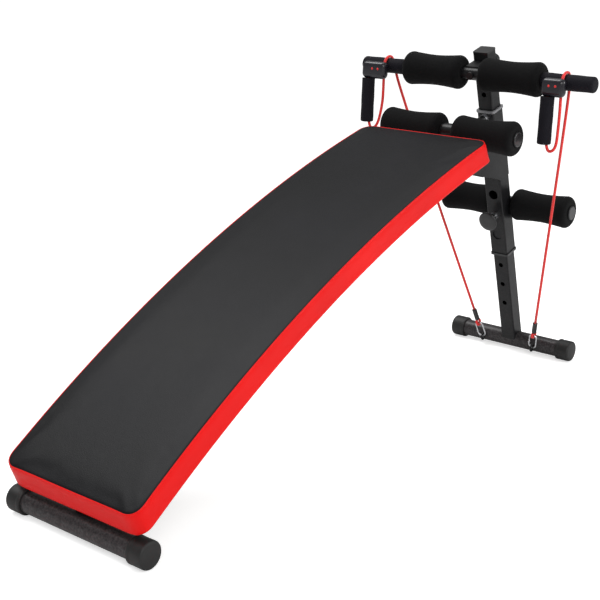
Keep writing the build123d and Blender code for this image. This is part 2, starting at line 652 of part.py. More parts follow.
cord_report = []
hook_frames = {}
for side_name, side in SIDES.items():
    frame = hook_frame(side)
    hook_frames[side_name] = frame
    ring_place = eyelet_place(side) * Rot(90, 0, 0)
    nodes[f"cord_eyelet_{side_name}"] = ring_place * Torus(RING_RADIUS, RING_WIRE) - rear_foot_solid

    wire = hook_wire_path()
    section = Plane(origin=wire @ 0, z_dir=wire % 0).location * Circle(HOOK_WIRE)
    nodes[f"carabiner_{side_name}"] = frame * sweep(section, path=wire)
    gate = Pos(0, HOOK_HALF, GATE_PIVOT) * extrude(Circle(GATE_WIRE), GATE_END - GATE_PIVOT)
    gate += Pos(0, HOOK_HALF, GATE_PIVOT) * rod_x(GATE_PIVOT_RADIUS, -GATE_PIVOT_RADIUS, GATE_PIVOT_RADIUS)
    nodes[f"carabiner_gate_{side_name}"] = frame * gate

    crimp = extrude(Circle(CRIMP_RADIUS), CRIMP_LENGTH)
    crimp = chamfer(crimp.edges(), 0.8)
    crimp = Pos(0, 0, CRIMP_START) * crimp
    eye = Pos(0, 0, EYE_HEIGHT) * Rot(90, 0, 0) * Torus(EYE_RADIUS, CORD_RADIUS)
    eye -= Pos(0, 0, CRIMP_START) * extrude(Circle(30), 40)
    cord_y = side * CORD_BAR_Y
    bar_axis = TOP_BAR.position
    start = (frame * Pos(0, 0, CRIMP_END)).position
    first_tangent = degrees(atan2((bar_axis - start).Z, (bar_axis - start).X)) - 90
    sweep_angle = 180 - first_tangent
    step = sweep_angle / 3
    points = [start]
    for corner in range(3):
        angle = radians(first_tangent + step * (corner + 0.5))
        reach = WRAP_RADIUS / cos(radians(step / 2))
        offset = Vector(reach * cos(angle), cord_y, reach * sin(angle))
        points.append(bar_axis + offset)
    points.append(bar_axis + Vector(-WRAP_RADIUS, cord_y, CORD_JOINT_Z))
    radii = [WRAP_RADIUS - 0.6] * 3
    tube, path = cord_tube(points, radii, CORD_RADIUS)
    cord_report.append((f"pull_cord_{side_name}", tube, path, radii))
    nodes[f"pull_cord_{side_name}"] = Compound(children=[tube, frame * eye])
    nodes[f"cord_crimp_{side_name}"] = frame * crimp - tube

    grip_y = cord_y + HANDLE_OFFSET[side_name]
    points = [bar_axis + point for point in handle_cord_path(cord_y, grip_y)]
    radii = tangent_radii(points)
    radii[-2:] = [12.0, 12.0]
    tube, path = cord_tube(points, radii, CORD_RADIUS)
    cord_report.append((f"handle_cord_{side_name}", tube, path, radii))
    nodes[f"handle_cord_{side_name}"] = tube
    nodes[f"handle_yoke_{side_name}"] = TOP_BAR * yoke(cord_y, grip_y) - tube
    grip = Pos(GRIP_X, grip_y, GRIP_BOTTOM) * extrude(Circle(GRIP_RADIUS), GRIP_LENGTH)
    grip = fillet(grip.edges().sort_by(Axis.Z)[:1], 3.0)
    nodes[f"handle_grip_{side_name}"] = TOP_BAR * grip - tube

# ---------------------------------------------------------------- write the pieces
if __name__ == "__main__":
    os.makedirs("parts", exist_ok=True)
    for node, shape in nodes.items():
        export_step(Pos(-ORIGIN_X, 0, 0) * shape, f"parts/{node}.step")
    for cord, tube, path, radii in cord_report:
        expected = pi * CORD_RADIUS**2 * path.length
        print(cord, "length", round(path.length, 1), "volume share", round(tube.volume / expected, 4))
        print("  radii", [round(radius, 1) for radius in radii])
    print(len(nodes), "nodes")
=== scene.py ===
import math
import bmesh
import bpy
from mathutils import Matrix, Vector


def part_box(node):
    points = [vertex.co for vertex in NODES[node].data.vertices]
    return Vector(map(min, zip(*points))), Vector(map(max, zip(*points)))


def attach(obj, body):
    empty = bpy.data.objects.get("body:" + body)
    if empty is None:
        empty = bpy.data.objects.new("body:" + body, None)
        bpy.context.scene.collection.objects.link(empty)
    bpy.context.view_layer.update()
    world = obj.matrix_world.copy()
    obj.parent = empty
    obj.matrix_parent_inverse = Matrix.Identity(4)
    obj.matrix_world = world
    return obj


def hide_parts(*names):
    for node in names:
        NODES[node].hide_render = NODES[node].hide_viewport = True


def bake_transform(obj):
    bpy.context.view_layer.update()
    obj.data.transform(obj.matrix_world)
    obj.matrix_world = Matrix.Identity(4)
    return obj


# %% [markdown]
# A decline sit-up bench is a curved padded board on a bent steel beam. A leaning post holds
# up its high end and carries foam rollers, a cross bar and two elastic pull cords. The steel
# pieces come from the CAD model as they are and only get their finish here. What is soft,
# rounded or moulded is modelled again, in the place that the CAD gives it.

# %% Load the frame
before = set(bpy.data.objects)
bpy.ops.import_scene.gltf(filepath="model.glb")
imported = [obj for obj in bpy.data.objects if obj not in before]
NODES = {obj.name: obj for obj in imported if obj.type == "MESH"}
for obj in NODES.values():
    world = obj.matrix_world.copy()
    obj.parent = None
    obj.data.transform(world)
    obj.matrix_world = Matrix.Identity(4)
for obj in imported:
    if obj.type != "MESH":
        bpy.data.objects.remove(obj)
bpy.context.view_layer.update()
bpy.ops.object.select_all(action="DESELECT")
SIDES = {"left": 1, "right": -1}


def middle_of(node):
    low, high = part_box(node)
    return (low + high) / 2


# %% [markdown]
# The camera stands at the front right of the bench, about two and a half metres from its middle.
# Three angles turn it: yaw to face the bench, a small downward pitch, and a slight roll.
# Building its axes from them as vectors keeps the view exact.

# %% Camera
CAMERA_PLACE = Vector((-1.83035, -1.34372, 0.88715))
YAW, PITCH, ROLL = 0.670384, -0.274391, 0.03055
forward = Vector((
    math.cos(PITCH) * math.cos(YAW), math.cos(PITCH) * math.sin(YAW), math.sin(PITCH)
))
level_right = Vector((math.sin(YAW), -math.cos(YAW), 0))
level_up = level_right.cross(forward)
right = math.cos(ROLL) * level_right + math.sin(ROLL) * level_up
up = -math.sin(ROLL) * level_right + math.cos(ROLL) * level_up
camera_data = bpy.data.cameras.new("bench_camera")
camera_data.sensor_width = 36.0
camera_data.lens = 74.32
camera = bpy.data.objects.new("bench_camera", camera_data)
bpy.context.scene.collection.objects.link(camera)
turn = Matrix((right, up, -forward)).transposed()
camera.matrix_world = Matrix.Translation(CAMERA_PLACE) @ turn.to_4x4()
bpy.context.scene.camera = camera
print("camera", tuple(round(c, 3) for c in CAMERA_PLACE))

# %% [markdown]
# Each elastic cord is a round red bungee. It runs from the crimp at the rear foot, up and
# over the cross bar, and down into the handle, where a short loop passes through the grip.
# Its line is a NURBS curve. The tube's points are read from that curve, so one smooth line
# serves for the pieces above and below the joints that move the cord.

# %% Cords: the line that each one follows
CORD_RADIUS = 0.003
WRAP = 0.0193
POST_LEAN = math.radians(18)
REAR_FOOT = Vector((0.67525, 0, 0.0235))
post_up = Vector((-math.sin(POST_LEAN), 0, math.cos(POST_LEAN)))
post_back = Vector((math.cos(POST_LEAN), 0, math.sin(POST_LEAN)))
TOP_BAR = REAR_FOOT + 0.679 * post_up - 0.049 * post_back
CORD_BAR_Y = 0.212
CORD_FOOT_Y = 0.065
HANDLE_OFFSET = {"left": 0.034, "right": 0.024}
HOOK_LIFT = 0.0026
EYE_HEIGHT = 0.0376
EYE_TO_CRIMP = 0.006
CRIMP_LENGTH = 0.028
CRIMP_END = EYE_HEIGHT + EYE_TO_CRIMP + CRIMP_LENGTH
EYELET_PLACE = REAR_FOOT + Vector((-0.023, 0, -0.006))
YOKE_BOTTOM = -0.028
GRIP_BOTTOM = YOKE_BOTTOM - 0.094
LOOP_BOTTOM = GRIP_BOTTOM - 0.013


print("top bar at", tuple(round(c, 4) for c in TOP_BAR))


def smooth_line(points, per_span=24):
    """Points along the NURBS spline that has these control points."""
    curve = bpy.data.curves.new("line", "CURVE")
    curve.dimensions = "3D"
    curve.resolution_u = per_span
    spline = curve.splines.new("NURBS")
    spline.points.add(len(points) - 1)
    for spot, point in zip(spline.points, points):
        spot.co = (*point, 1)
    spline.order_u = 3
    spline.use_endpoint_u = True
    holder = bpy.data.objects.new("line", curve)
    bpy.context.scene.collection.objects.link(holder)
    mesh = bpy.data.meshes.new_from_object(holder)
    line = [v.co.copy() for v in mesh.vertices]
    bpy.data.objects.remove(holder)
    bpy.data.meshes.remove(mesh)
    return line


def line_length(line):
    return sum((b - a).length for a, b in zip(line, line[1:]))


def pull_cord_route(side):
    """From the crimp's end over the bar to the joint inside the yoke."""
    eyelet = EYELET_PLACE + Vector((0, side * CORD_FOOT_Y, 0))
    over = TOP_BAR + Vector((WRAP, side * CORD_BAR_Y, 0))
    direction = (over - eyelet).normalized()
    start = eyelet + direction * (HOOK_LIFT + CRIMP_END)
    to_bar = TOP_BAR - start
    first = math.atan2(to_bar.z, to_bar.x) - math.pi / 2
    step = (math.pi - first) / 3
    reach = WRAP / math.cos(step / 2)
    route = [start]
    bend_start = TOP_BAR + Vector((WRAP, side * CORD_BAR_Y, -0.02))
    route.append(start.lerp(bend_start, 0.94))
    for corner in range(3):
        angle = first + step * (corner + 0.5)
        corner_place = (reach * math.cos(angle), side * CORD_BAR_Y, reach * math.sin(angle))
        route.append(TOP_BAR + Vector(corner_place))
    route.append(TOP_BAR + Vector((-WRAP, side * CORD_BAR_Y, -0.004)))
    return route, direction


def handle_cord_route(side_name):
    """Down out of the yoke, round, and up into the grip."""
    cord_y = SIDES[side_name] * CORD_BAR_Y
    grip_y = cord_y + HANDLE_OFFSET[side_name]
    offsets = [
        (-WRAP, cord_y, -0.004),
        (-WRAP - 0.002, cord_y - 0.002, YOKE_BOTTOM - 0.014),
        (-WRAP - 0.004, cord_y - 0.003, GRIP_BOTTOM + 0.040),
        (-WRAP - 0.006, grip_y - 0.026, LOOP_BOTTOM),
        (-WRAP - 0.008, grip_y, LOOP_BOTTOM),
        (-WRAP - 0.008, grip_y + 0.0005, YOKE_BOTTOM),
    ]
    return [TOP_BAR + Vector(o) for o in offsets]


# %% [markdown]
# A cord is the same round section all along its line. A curve with a bevel depth would make
# it too. Rings of points, laid along the line and joined, are used here because they let the
# braid's UV map run evenly along and round the tube.

# %% Cords: a tube round a line
def tube_round(name, line, radius, sides=16):
    """A closed tube along the line, with a UV map that runs along and round it."""
    mesh = bpy.data.meshes.new(name)
    build = bmesh.new()
    uv = build.loops.layers.uv.new("along")
    tangent = (line[1] - line[0]).normalized()
    across = tangent.orthogonal().normalized()
    rings, places, run = [], [], 0.0
    for i, point in enumerate(line):
        ahead = line[min(i + 1, len(line) - 1)] - line[max(i - 1, 0)]
        tangent = ahead.normalized()
        across = (across - tangent * across.dot(tangent)).normalized()
        other = tangent.cross(across)
        if i:
            run += (point - line[i - 1]).length
        places.append(run)
        ring = []
        for s in range(sides):
            a = 2 * math.pi * s / sides
            outward = math.cos(a) * across + math.sin(a) * other
            ring.append(build.verts.new(point + radius * outward))
        rings.append(ring)
    for i, (a, b) in enumerate(zip(rings, rings[1:])):
        for s in range(sides):
            t = (s + 1) % sides
            face = build.faces.new((a[s], a[t], b[t], b[s]))
            face.smooth = True
            here, ahead = places[i], places[i + 1]
            corners = ((s, here), (s + 1, here), (s + 1, ahead), (s, ahead))
            for loop, (turn_part, place) in zip(face.loops, corners):
                loop[uv].uv = (turn_part / sides, place / (2 * math.pi * radius))
    build.faces.new(list(reversed(rings[0])))
    build.faces.new(rings[-1])
    build.to_mesh(mesh)
    build.free()
    piece = bpy.data.objects.new(name, mesh)
    bpy.context.scene.collection.objects.link(piece)
    return piece


def part_of_line(line, height):
    """The part of a line below a height, and its point there. The line only rises."""
    kept = [p for p in line if p.z < height]
    a, b = line[len(kept) - 1], line[len(kept)]
    return kept + [a.lerp(b, (height - a.z) / (b.z - a.z))]


# %% [markdown]
# The pull cord crosses three joints, and one piece can blend between two bodies only. So the
# line is cut at mid height and again at the top of the bar, and each part gets its own tube.

# %% Cords: make them
HALFWAY_HEIGHT = 0.35
cords = {}
for side_name, side in SIDES.items():
    route, hook_direction = pull_cord_route(side)
    line = smooth_line(route)
    rising = []
    for point in line:
        if rising and point.z <= rising[-1].z:
            break
        rising.append(point)
    lower = part_of_line(rising, HALFWAY_HEIGHT)
    upper = [lower[-1]] + line[len([p for p in rising if p.z < HALFWAY_HEIGHT]):]
    over_bar = next(i for i, p in enumerate(upper) if p.z > TOP_BAR.z)
    upper, wrap = upper[:over_bar + 1], upper[over_bar:]
    handle_line = smooth_line(handle_cord_route(side_name))
    pieces = (
        ("pull_cord_lower", lower), ("pull_cord_upper", upper),
        ("pull_cord_wrap", wrap), ("handle_loop", handle_line),
    )
    cords[side_name] = {"hook direction": hook_direction}
    for piece_name, its_line in pieces:
        tube = tube_round(f"{piece_name}_{side_name}", its_line, CORD_RADIUS)
        cords[side_name][piece_name] = (tube, its_line)
    lengths = round(line_length(line), 4), round(line_length(handle_line), 4)
    print(side_name, "cord and handle loop", lengths)


# %% [markdown]
# The cord's lower end is a small red eye that a metal crimp holds shut. A torus is the right
# start for it: it's the same round cord, bent once round a ring.

# %% Cord eyes
EYE_RADIUS = 0.007
cord_eyes = {}
for side_name, side in SIDES.items():
    direction = cords[side_name]["hook direction"]
    start = EYELET_PLACE + Vector((0, side * CORD_FOOT_Y, 0)) + direction * HOOK_LIFT
    bpy.ops.mesh.primitive_torus_add(
        major_radius=EYE_RADIUS, minor_radius=CORD_RADIUS, major_segments=40, minor_segments=16
    )
    eye = bpy.context.object
    eye.name = f"cord_eye_{side_name}"
    bpy.ops.object.mode_set(mode="EDIT")
    bpy.ops.mesh.select_all(action="SELECT")
    bpy.ops.mesh.bisect(
        plane_co=(EYE_TO_CRIMP, 0, 0), plane_no=(1, 0, 0), use_fill=True, clear_outer=True
    )
    bpy.ops.object.mode_set(mode="OBJECT")
    front = (Vector((1, 0, 0)) - direction * direction.x).normalized()
    turned = Matrix((direction, front, direction.cross(front))).transposed()
    eye.matrix_world = Matrix.Translation(start + direction * EYE_HEIGHT) @ turned.to_4x4()
    bpy.ops.object.transform_apply()
    bpy.ops.object.shade_smooth()
    cord_eyes[side_name] = eye
print("cord eyes", [o.name for o in cord_eyes.values()])

# %% [markdown]
# Materials come next, one for each finish on the bench. Every one is a Principled shader. Its
# pattern comes from noise and cell textures on object coordinates, which are metres here, so
# a texture scale of 1000 makes grains of about a millimetre.

# %% Material helper
def finish_material(name, colour, roughness, metallic=0.0, coat=0.0, sheen=0.0, specular=0.5):
    """A material with a Principled shader, and a helper to add nodes to it."""
    material = bpy.data.materials.new(name)
    material.use_nodes = True
    tree = material.node_tree
    shader = tree.nodes["Principled BSDF"]
    shader.inputs["Base Color"].default_value = (*colour, 1)
    shader.inputs["Roughness"].default_value = roughness
    shader.inputs["Metallic"].default_value = metallic
    shader.inputs["Coat Weight"].default_value = coat
    shader.inputs["Sheen Weight"].default_value = sheen
    shader.inputs["Specular IOR Level"].default_value = specular
    return material, tree, shader


def noise(tree, scale, detail=2.0, kind="ShaderNodeTexNoise", source="Object"):
    """A texture on the piece's own coordinates. Returns its node."""
    place = tree.nodes.new("ShaderNodeTexCoord")
    texture = tree.nodes.new(kind)
    texture.inputs["Scale"].default_value = scale
    if "Detail" in texture.inputs:
        texture.inputs["Detail"].default_value = detail
    tree.links.new(place.outputs[source], texture.inputs["Vector"])
    return texture


def ramp(tree, value, stops):
    """A colour ramp with these (place, colour) stops."""
    node = tree.nodes.new("ShaderNodeValToRGB")
    for element, (place, colour) in zip(node.color_ramp.elements, (stops[0], stops[-1])):
        element.position = place
        element.color = (*colour, 1)
    for place, colour in stops[1:-1]:
        node.color_ramp.elements.new(place).color = (*colour, 1)
    tree.links.new(value, node.inputs["Fac"])
    return node


def add_bump(tree, shader, height, strength, distance):
    node = tree.nodes.new("ShaderNodeBump")
    node.inputs["Strength"].default_value = strength
    node.inputs["Distance"].default_value = distance
    tree.links.new(height, node.inputs["Height"])
    previous = shader.inputs["Normal"].links
    if previous:
        tree.links.new(previous[0].from_socket, node.inputs["Normal"])
    tree.links.new(node.outputs["Normal"], shader.inputs["Normal"])
    return node


def rough_range(tree, shader, value, low, high):
    node = tree.nodes.new("ShaderNodeMapRange")
    node.inputs["To Min"].default_value = low
    node.inputs["To Max"].default_value = high
    tree.links.new(value, node.inputs["Value"])
    tree.links.new(node.outputs["Result"], shader.inputs["Roughness"])


# %% [markdown]
# The cover is upholstery vinyl. Its leather grain is too fine to model, so a cell texture
# drives a bump, and a broad noise changes the colour and the gloss a little over the pad.

# %% Vinyl, black and red
def vinyl(name, dark, light, roughness):
    """Upholstery vinyl: a fine leather grain of small cells, with broad soft colour changes."""
    material, tree, shader = finish_material(name, dark, roughness, specular=0.16)
    broad = noise(tree, 5.0, 3.0)
    shades = ramp(tree, broad.outputs["Fac"], [(0.35, dark), (0.7, light)])
    tree.links.new(shades.outputs["Color"], shader.inputs["Base Color"])
    cells = noise(tree, 650.0, kind="ShaderNodeTexVoronoi")
    add_bump(tree, shader, cells.outputs["Distance"], 0.22, 0.0005)
    soft = noise(tree, 26.0, 3.0)
    add_bump(tree, shader, soft.outputs["Fac"], 0.10, 0.004)
    rough_range(tree, shader, broad.outputs["Fac"], roughness - 0.05, roughness + 0.07)
    return material


black_vinyl = vinyl("black_vinyl", (0.0035, 0.0035, 0.0042), (0.0065, 0.0065, 0.0085), 0.40)
red_vinyl = vinyl("red_vinyl", (0.74, 0.003, 0.003), (0.86, 0.006, 0.005), 0.40)
print("vinyl", black_vinyl.name, red_vinyl.name)


# %% [markdown]
# Rollers and grips are closed-cell foam, which is matt and full of tiny pores. The pores are
# a fine cell texture used as a bump, with a wider noise for soft dents.

# %% Foam
def foam(name, dark, light, bump, roughness=0.85):
    """Closed-cell foam: matt, with fine pores and a faint powdery sheen."""
    material, tree, shader = finish_material(name, dark, roughness, sheen=0.02, specular=0.12)
    pores = noise(tree, 1500.0, kind="ShaderNodeTexVoronoi")
    specks = noise(tree, 900.0, 4.0)
    shades = ramp(tree, specks.outputs["Fac"], [(0.35, dark), (0.75, light)])
    tree.links.new(shades.outputs["Color"], shader.inputs["Base Color"])
    add_bump(tree, shader, pores.outputs["Distance"], bump, 0.0004)
    dents = noise(tree, 35.0, 2.0)
    add_bump(tree, shader, dents.outputs["Fac"], 0.15, 0.003)
    return material


roller_foam = foam("roller_foam", (0.0025, 0.0025, 0.0027), (0.0065, 0.0065, 0.0070), 0.5)
grip_foam = foam("grip_foam", (0.0060, 0.0056, 0.0085), (0.012, 0.011, 0.016), 0.35, 0.7)
print("foam", roller_foam.name, grip_foam.name)


# %% [markdown]
# The steel is powder coated. Paint baked from powder has a slight orange peel, which is a
# small noise bump. The feet have a mottled coat, made with the same nodes and lighter flecks.

# %% Powder coat
def powder_coat(name, dark, light, mottle=0.0):
    """Baked powder paint: an orange-peel skin, and fine lighter flecks where it is textured."""
    material, tree, shader = finish_material(name, dark, 0.38, coat=0.05, specular=0.3)
    flecks = noise(tree, 260.0, 4.0)
    shades = ramp(tree, flecks.outputs["Fac"], [(0.45 - mottle * 0.1, dark), (0.72, light)])
    tree.links.new(shades.outputs["Color"], shader.inputs["Base Color"])
    peel = noise(tree, 480.0, 2.0)
    add_bump(tree, shader, peel.outputs["Fac"], 0.25, 0.0006)
    wear = noise(tree, 12.0, 4.0)
    rough_range(tree, shader, wear.outputs["Fac"], 0.30, 0.52)
    return material


black_steel = powder_coat("black_powder_coat", (0.0045, 0.0045, 0.0052), (0.013, 0.013, 0.0145))
foot_steel = powder_coat("mottled_powder_coat", (0.016, 0.014, 0.015), (0.060, 0.054, 0.056), 1.0)
print("powder coats", black_steel.name, foot_steel.name)


# %% [markdown]
# Caps, knobs and plugs are moulded, so their colour is even. A plain colour would look flat,
# so faint clouds vary it and its gloss, and a fine grain breaks up the highlights.

# %% Rubber and plastics
def moulded(name, dark, light, roughness, coat=0.0, grain=700.0):
    """Moulded plastic or rubber: even colour with slight clouding and a fine grain."""
    material, tree, shader = finish_material(name, dark, roughness, coat=coat)
    clouds = noise(tree, 40.0, 3.0)
    shades = ramp(tree, clouds.outputs["Fac"], [(0.3, dark), (0.75, light)])
    tree.links.new(shades.outputs["Color"], shader.inputs["Base Color"])
    fine = noise(tree, grain, 2.0)
    add_bump(tree, shader, fine.outputs["Fac"], 0.15, 0.0004)
    rough_range(tree, shader, clouds.outputs["Fac"], roughness - 0.05, roughness + 0.08)
    return material


cap_rubber = moulded("cap_rubber", (0.006, 0.006, 0.006), (0.012, 0.012, 0.012), 0.55)
black_plastic = moulded("black_plastic", (0.006, 0.006, 0.007), (0.010, 0.010, 0.011), 0.30, 0.3)
gloss_plastic = moulded("gloss_plastic", (0.008, 0.007, 0.011), (0.013, 0.012, 0.018), 0.28, 0.15)
# Painted highlight: this grey stands in for the light from above that the top bushing's black
# plastic reflects; the bottom bushing is plain black plastic.
grey_plastic = moulded("grey_plastic", (0.20, 0.20, 0.21), (0.28, 0.28, 0.29), 0.4)
print("plastics", cap_rubber.name, black_plastic.name, gloss_plastic.name, grey_plastic.name)


# %% [markdown]
# Pins, most bolts and the hooks are zinc plated. Metallic is 1, so the colour is that of the
# reflection, and rubbed marks change the roughness from place to place.

# %% Zinc steel
def zinc():
    """Bright zinc plate: metal with faint spangle and fine rubbed marks."""
    material, tree, shader = finish_material("zinc_steel", (0.60, 0.61, 0.63), 0.28, metallic=1.0)
    spangle = noise(tree, 180.0, kind="ShaderNodeTexVoronoi")
    stops = [(0.0, (0.52, 0.53, 0.55)), (1.0, (0.70, 0.71, 0.73))]
    shades = ramp(tree, spangle.outputs["Distance"], stops)
    tree.links.new(shades.outputs["Color"], shader.inputs["Base Color"])
    rubbed = noise(tree, 320.0, 5.0)
    add_bump(tree, shader, rubbed.outputs["Fac"], 0.12, 0.0003)
    rough_range(tree, shader, rubbed.outputs["Fac"], 0.20, 0.36)
    return material


zinc_steel = zinc()
print("zinc", zinc_steel.name)


# %% [markdown]
# The cord's sleeve is braided. Two wave textures with opposite slants, joined by their
# maximum, cross like the threads. The board's grain is one noise, stretched along the board.

# %% Braided elastic and board
def elastic(name, dark, light):
    """The cord's braided sleeve: two crossing sets of slanted ribs on the cord's own UV map."""
    material, tree, shader = finish_material(name, dark, 0.5, sheen=0.2)
    place = tree.nodes.new("ShaderNodeTexCoord")
    ribs = []
    for slant in (math.radians(38), math.radians(-38)):
        turned_map = tree.nodes.new("ShaderNodeMapping")
        turned_map.inputs["Rotation"].default_value = (0, 0, slant)
        tree.links.new(place.outputs["UV"], turned_map.inputs["Vector"])
        wave = tree.nodes.new("ShaderNodeTexWave")
        wave.inputs["Scale"].default_value = 4.0
        tree.links.new(turned_map.outputs["Vector"], wave.inputs["Vector"])
        ribs.append(wave)
    both = tree.nodes.new("ShaderNodeMath")
    both.operation = "MAXIMUM"
    tree.links.new(ribs[0].outputs["Fac"], both.inputs[0])
    tree.links.new(ribs[1].outputs["Fac"], both.inputs[1])
    shades = ramp(tree, both.outputs["Value"], [(0.2, dark), (0.9, light)])
    tree.links.new(shades.outputs["Color"], shader.inputs["Base Color"])
    add_bump(tree, shader, both.outputs["Value"], 0.4, 0.0004)
    return material


red_elastic = elastic("red_elastic", (0.58, 0.006, 0.006), (0.92, 0.02, 0.016))


def board_ply():
    """The underside of the board: dark stained ply with a long grain."""
    material, tree, shader = finish_material("board_ply", (0.09, 0.055, 0.03), 0.6)
    place = tree.nodes.new("ShaderNodeTexCoord")
    stretch = tree.nodes.new("ShaderNodeMapping")
    stretch.inputs["Scale"].default_value = (4.0, 60.0, 4.0)
    tree.links.new(place.outputs["Object"], stretch.inputs["Vector"])
    grain = tree.nodes.new("ShaderNodeTexNoise")
    grain.inputs["Scale"].default_value = 3.0
    grain.inputs["Detail"].default_value = 6.0
    tree.links.new(stretch.outputs["Vector"], grain.inputs["Vector"])
    stops = [(0.3, (0.10, 0.062, 0.033)), (0.7, (0.23, 0.155, 0.09))]
    shades = ramp(tree, grain.outputs["Fac"], stops)
    tree.links.new(shades.outputs["Color"], shader.inputs["Base Color"])
    add_bump(tree, shader, grain.outputs["Fac"], 0.2, 0.0008)
    return material


board_wood = board_ply()
print("materials", len(bpy.data.materials))


def give(piece, material):
    piece.data.materials.clear()
    piece.data.materials.append(material)


# %% [markdown]
# The pad is foam on a board, in a cover sewn from a black top panel and a red band. It is
# modelled flat, like the real cover on its cutting table, and bent to the bench's curve at
# the end. A cloth simulation with a little pressure gives the slight crown and the soft
# edges. The cut for the seam comes after it, because the remesh would lose a narrow seam.

# %% Pad: a flat block with rounded corners
PAD_LENGTH = 1.065
PAD_HALF_WIDTH = 0.155
PAD_HIGH_SHARE = 302 / 310
PAD_THICKNESS = 0.045
SEAM_DEPTH = 0.0035
CURVE_RADIUS = 2.880
CURVE_CENTRE = Vector((1.0083, 0, -2.2293))
LOW_ANGLE = math.radians(36.35)
CHORD_ANGLE = LOW_ANGLE - PAD_LENGTH / CURVE_RADIUS / 2   # the ends are cut square to the chord


def edit_mode(piece):
    bpy.ops.object.select_all(action="DESELECT")
    bpy.context.view_layer.objects.active = piece
    piece.select_set(True)
    bpy.ops.object.mode_set(mode="EDIT")
    bpy.ops.mesh.select_all(action="DESELECT")


def select_in_edit(piece, edges):
    """Selects the edges that the test picks, while the piece is in edit mode."""
    bpy.ops.mesh.select_all(action="DESELECT")
    build = bmesh.from_edit_mesh(piece.data)
    for edge in build.edges:
        if edges(edge):
            edge.select_set(True)
    bmesh.update_edit_mesh(piece.data)


def is_upright(edge):
    run = edge.verts[1].co - edge.verts[0].co
    return run.length > 1e-6 and abs(run.normalized().z) > 0.99


def is_top_rim(edge):
    """True for an edge between the flat top and a side."""
    near_top = all(v.co.z > -0.01 for v in edge.verts)
    return not is_upright(edge) and near_top and any(abs(f.normal.z) < 0.5 for f in edge.link_faces)


SWELL = 0.0022
CORNER_RADIUS = 0.027
TOP_EDGE_RADIUS = 0.006
bpy.ops.mesh.primitive_cube_add(size=1, location=(PAD_LENGTH / 2, 0, -PAD_THICKNESS / 2))
pad = bpy.context.object
pad.name = "pad_cover"
pad.scale = (PAD_LENGTH - 2 * SWELL, 2 * (PAD_HALF_WIDTH - SWELL), PAD_THICKNESS - SWELL)
bpy.ops.object.transform_apply()
edit_mode(pad)
select_in_edit(pad, edges=is_upright)
bpy.ops.mesh.bevel(offset=CORNER_RADIUS, segments=8, affect="EDGES")
select_in_edit(pad, edges=is_top_rim)
bpy.ops.mesh.bevel(offset=TOP_EDGE_RADIUS, segments=4, affect="EDGES")
bpy.ops.object.mode_set(mode="OBJECT")
print("pad block", len(pad.data.vertices), "points")

# %% [markdown]
# Real foam is cut a little large, and it pushes the cover out between the seams. Sculpting
# that by hand would be uneven, so a cloth simulation with pressure does it. The board's
# side is held, and each point's move is eased so that it never passes the cap.

# %% Pad: the foam pushes the cover out
PAD_CAP = 0.0022


def swell(piece, voxel, pressure, cap, held):
    """A short cloth simulation with pressure. Points that held() picks stay where they are."""
    bpy.ops.object.select_all(action="DESELECT")
    bpy.context.view_layer.objects.active = piece
    piece.select_set(True)
    piece.data.remesh_voxel_size = voxel
    bpy.ops.object.voxel_remesh()
    before = [v.co.copy() for v in piece.data.vertices]
    group = piece.vertex_groups.new(name="held")
    group.add([v.index for v in piece.data.vertices if held(v.co)], 1.0, "REPLACE")
    cloth = piece.modifiers.new("swell", "CLOTH")
    cloth.settings.use_pressure = True
    cloth.settings.uniform_pressure_force = pressure
    cloth.settings.effector_weights.gravity = 0.0
    cloth.settings.vertex_group_mass = "held"
    for number in range(1, 21):
        bpy.context.scene.frame_set(number)
    bpy.ops.object.modifier_apply(modifier="swell")
    bpy.context.scene.frame_set(1)
    for vertex, start in zip(piece.data.vertices, before):
        move = vertex.co - start
        vertex.co = start + move * (cap / (cap + move.length))
    piece.vertex_groups.clear()


PAD_VOXEL = 0.006
PAD_PRESSURE = 4.0
HELD_HEIGHT = 0.003
swell(pad, PAD_VOXEL, PAD_PRESSURE, PAD_CAP, lambda co: co.z < -PAD_THICKNESS + HELD_HEIGHT)
pad_top = max(v.co.z for v in pad.data.vertices)
print("pad after swelling", len(pad.data.vertices), "points, top", round(pad_top, 4))

# %% [markdown]
# The black panel meets the red band just under the top edge. One bisecting plane cuts the
# mesh there, so that the colours meet on a clean line.

# %% Pad: cut the seam, and colour the two panels
edit_mode(pad)
bpy.ops.mesh.select_all(action="SELECT")
bpy.ops.mesh.bisect(plane_co=(0, 0, -SEAM_DEPTH), plane_no=(0, 0, 1))
bpy.ops.object.mode_set(mode="OBJECT")
pad.data.materials.append(black_vinyl)
pad.data.materials.append(red_vinyl)
for polygon in pad.data.polygons:
    polygon.material_index = 0 if polygon.center.z > -SEAM_DEPTH else 1
    polygon.use_smooth = True

panels_of_edge = {}
for polygon in pad.data.polygons:
    for key in polygon.edge_keys:
        panels_of_edge.setdefault(key, set()).add(polygon.material_index)
seam_edges = [key for key, panels in panels_of_edge.items() if len(panels) == 2]
print("seam edges", len(seam_edges))


def bend_to_bench(piece):
    """Tapers a flat piece and bends it along the bench's curve."""
    for vertex in piece.data.vertices:
        along, across, height = vertex.co
        share = along / PAD_LENGTH
        across *= 1 + (PAD_HIGH_SHARE - 1) * share
        along += height * math.tan(LOW_ANGLE - along / CURVE_RADIUS - CHORD_ANGLE)
        angle = LOW_ANGLE - along / CURVE_RADIUS
        radius = CURVE_RADIUS + height
        vertex.co = (
            CURVE_CENTRE.x - radius * math.sin(angle),
            across,
            CURVE_CENTRE.z + radius * math.cos(angle),
        )
    piece.data.update()


